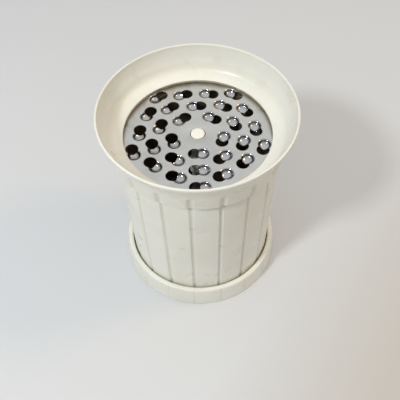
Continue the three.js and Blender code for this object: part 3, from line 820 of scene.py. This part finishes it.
def addCamera():
    down = math.radians(cameraSet["down"])
    aside = math.radians(cameraSet["aside"])
    roll = math.radians(cameraSet["roll"])
    forward = Vector((math.sin(aside) * math.cos(down), math.cos(aside) * math.cos(down), -math.sin(down)))
    right = Vector((math.cos(aside), -math.sin(aside), 0))
    up = right.cross(forward)
    rolledRight = right * math.cos(roll) + up * math.sin(roll)
    rolledUp = up * math.cos(roll) - right * math.sin(roll)
    data = bpy.data.cameras.new("camera")
    data.lens = cameraSet["lens"]
    data.sensor_width = cameraSet["sensor"]
    data.clip_start = cameraSet["nearest"]
    camera = bpy.data.objects.new("camera", data)
    turned = Matrix((rolledRight, rolledUp, -forward)).transposed().to_4x4()
    camera.matrix_world = Matrix.Translation(cameraSet["place"]) @ turned
    bpy.context.scene.collection.objects.link(camera)
    bpy.context.scene.camera = camera


def addLight(name, place, size, power, colour):
    data = bpy.data.lights.new(name, "AREA")
    data.shape = "DISK"
    data.size = size
    data.energy = power
    data.color = colour
    light = bpy.data.objects.new(name, data)
    aim = Vector(lightSet["aim"]) - Vector(place)
    light.matrix_world = Matrix.Translation(place) @ aim.to_track_quat("-Z", "Y").to_matrix().to_4x4()
    bpy.context.scene.collection.objects.link(light)


def addFloor():
    bm = bmesh.new()
    bmesh.ops.create_circle(bm, cap_ends=True, segments=64, radius=lightSet["floorRadius"])
    mesh = bpy.data.meshes.new("floor")
    bm.to_mesh(mesh)
    bm.free()
    material, nodes, links, shader, place = startMaterial("floorPaper")
    tone = addNoise(nodes, links, place, 3.0, 2.0, 0.5)
    pale = lightSet["floor"]
    dull = tuple(value * lightSet["floorMottle"] for value in pale)
    paper = addRamp(nodes, links, tone, [(0.3, dull), (0.7, pale)])
    # painted shade: the floor darkens and warms towards one side
    slant = nodes.new("ShaderNodeVectorMath")
    slant.operation = "DOT_PRODUCT"
    slant.inputs[1].default_value = lightSet["paintedShadeTowards"]
    links.new(place, slant.inputs[0])
    away = addRange(nodes, links, slant.outputs["Value"], 0.0, 1.0, lightSet["paintedShadeFrom"], lightSet["paintedShadeTo"])
    shaded = addMix(nodes, links, away, paper, lightSet["floorPaintedShade"], "MULTIPLY")
    links.new(shaded, shader.inputs["Base Color"])
    shader.inputs["Roughness"].default_value = 0.7
    shader.inputs["Specular IOR Level"].default_value = 0.2
    mesh.materials.append(material)
    floor = bpy.data.objects.new("floor", mesh)
    bpy.context.scene.collection.objects.link(floor)


def addCard():
    # dark screen behind the camera, seen only in reflections
    bm = bmesh.new()
    bmesh.ops.create_grid(bm, x_segments=1, y_segments=1, size=0.5)
    bmesh.ops.scale(bm, vec=(lightSet["cardWidth"], lightSet["cardHeight"], 1), verts=bm.verts)
    bmesh.ops.rotate(bm, cent=(0, 0, 0), matrix=Matrix.Rotation(math.pi / 2, 3, "X"), verts=bm.verts)
    bmesh.ops.translate(bm, vec=lightSet["cardPlace"], verts=bm.verts)
    mesh = bpy.data.meshes.new("darkCard")
    bm.to_mesh(mesh)
    bm.free()
    mesh.materials.append(plainPlastic("cardPaper"))
    card = bpy.data.objects.new("darkCard", mesh)
    card.visible_camera = False
    card.visible_diffuse = False
    card.visible_shadow = False
    bpy.context.scene.collection.objects.link(card)


def addSky():
    world = bpy.data.worlds.new("softRoom")
    world.use_nodes = True
    nodes, links = world.node_tree.nodes, world.node_tree.links
    background = nodes["Background"]
    height = nodes.new("ShaderNodeSeparateXYZ")
    links.new(nodes.new("ShaderNodeTexCoord").outputs["Generated"], height.inputs["Vector"])
    stops = [(0.30, lightSet["horizon"]), (0.55, lightSet["zenith"])]
    links.new(addRamp(nodes, links, height.outputs["Z"], stops), background.inputs["Color"])
    background.inputs["Strength"].default_value = lightSet["skyStrength"]
    bpy.context.scene.world = world


addCamera()
for lightName, kind in (("windowLight", "key"), ("roomLamp", "lamp")):
    addLight(lightName, *(lightSet[kind + word] for word in ("Place", "Size", "Power", "Colour")))
addFloor()
addCard()
addSky()
bpy.context.scene.view_settings.view_transform = "Standard"
print("camera, lights and floor ready")

# CAD nodes that stay, under their finishes
stayingNodes = (
    # the chamber's inner parts take the dark brown of painted shade
    (paintedShadePlastic, ("chamber_liner", "disc_retainer", "follower_plate")),
    (acetal, ("follower_nut",)),
    (silicone, ("spindle_o_ring",)),
    (pressedSteel, ("grip_ring",)),
    (platedSteel, ("spindle_clip", "collar_snap_ring", "base_fixing_screw",
                   "liner_screw_1", "liner_screw_2", "liner_screw_3")),
)
for material, nodeNames in stayingNodes:
    for nodeName in nodeNames:
        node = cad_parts[nodeName]
        node.data.materials.clear()
        node.data.materials.append(material)
